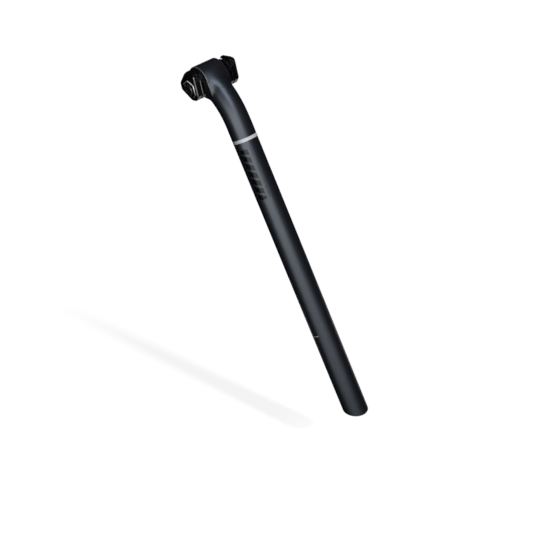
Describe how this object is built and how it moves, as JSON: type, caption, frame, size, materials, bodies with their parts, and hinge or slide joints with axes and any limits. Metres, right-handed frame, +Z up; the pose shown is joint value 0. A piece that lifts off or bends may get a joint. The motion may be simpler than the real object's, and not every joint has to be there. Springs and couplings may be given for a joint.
{
  "type": "bicycle seatpost",
  "caption": "Set-back bicycle seatpost: a slim round shaft bent back into a cross-wise barrel head with a bolted side clamp for saddle rails.",
  "frame": {"origin": "on the shaft's axis at the least insertion depth, where the frame's seat collar closes on it", "axes": "+Z up the shaft, +X to the front of the bicycle, +Y to its left"},
  "size_m": [0.0507, 0.059, 0.42],
  "materials": {
    "carbon_black": "satin lacquered carbon composite",
    "anodised_black": "black anodised",
    "jaw_black": "black anodised, bright edges",
    "bolt_steel": "black oxide"
  },
  "bodies": {
    "post": {"post": "carbon_black"},
    "clamp": {"cradle_right": "anodised_black", "cradle_left": "anodised_black"},
    "right_jaw": {"jaw_right": "jaw_black", "bolt_washer": "bolt_steel"},
    "left_jaw": {"jaw_left": "jaw_black", "sleeve_nut": "bolt_steel"},
    "bolt": {"cross_bolt": "bolt_steel"}
  },
  "joints": [
    {"name": "saddle_tilt", "type": "hinge", "parent": "post", "child": "clamp", "pos_m": [-0.02, 0, 0.3], "axis": [0, 1, 0], "range_deg": [-20, 20]},
    {"name": "right_jaw_open", "type": "slide", "parent": "clamp", "child": "right_jaw", "axis": [0, -1, 0], "range_m": [0, 0.003]},
    {"name": "left_jaw_open", "type": "slide", "parent": "clamp", "child": "left_jaw", "axis": [0, 1, 0], "range_m": [0, 0.003]},
    {"name": "bolt_turn", "type": "hinge", "parent": "right_jaw", "child": "bolt", "pos_m": [-0.02, 0, 0.3], "axis": [0, -1, 0], "range_deg": [0, 1730]}
  ],
  "couplings": [
    {"joint": "bolt_turn", "follows": "right_jaw_open", "rad_per_m": 10053},
    {"joint": "left_jaw_open", "follows": "right_jaw_open", "ratio": 1}
  ]
}
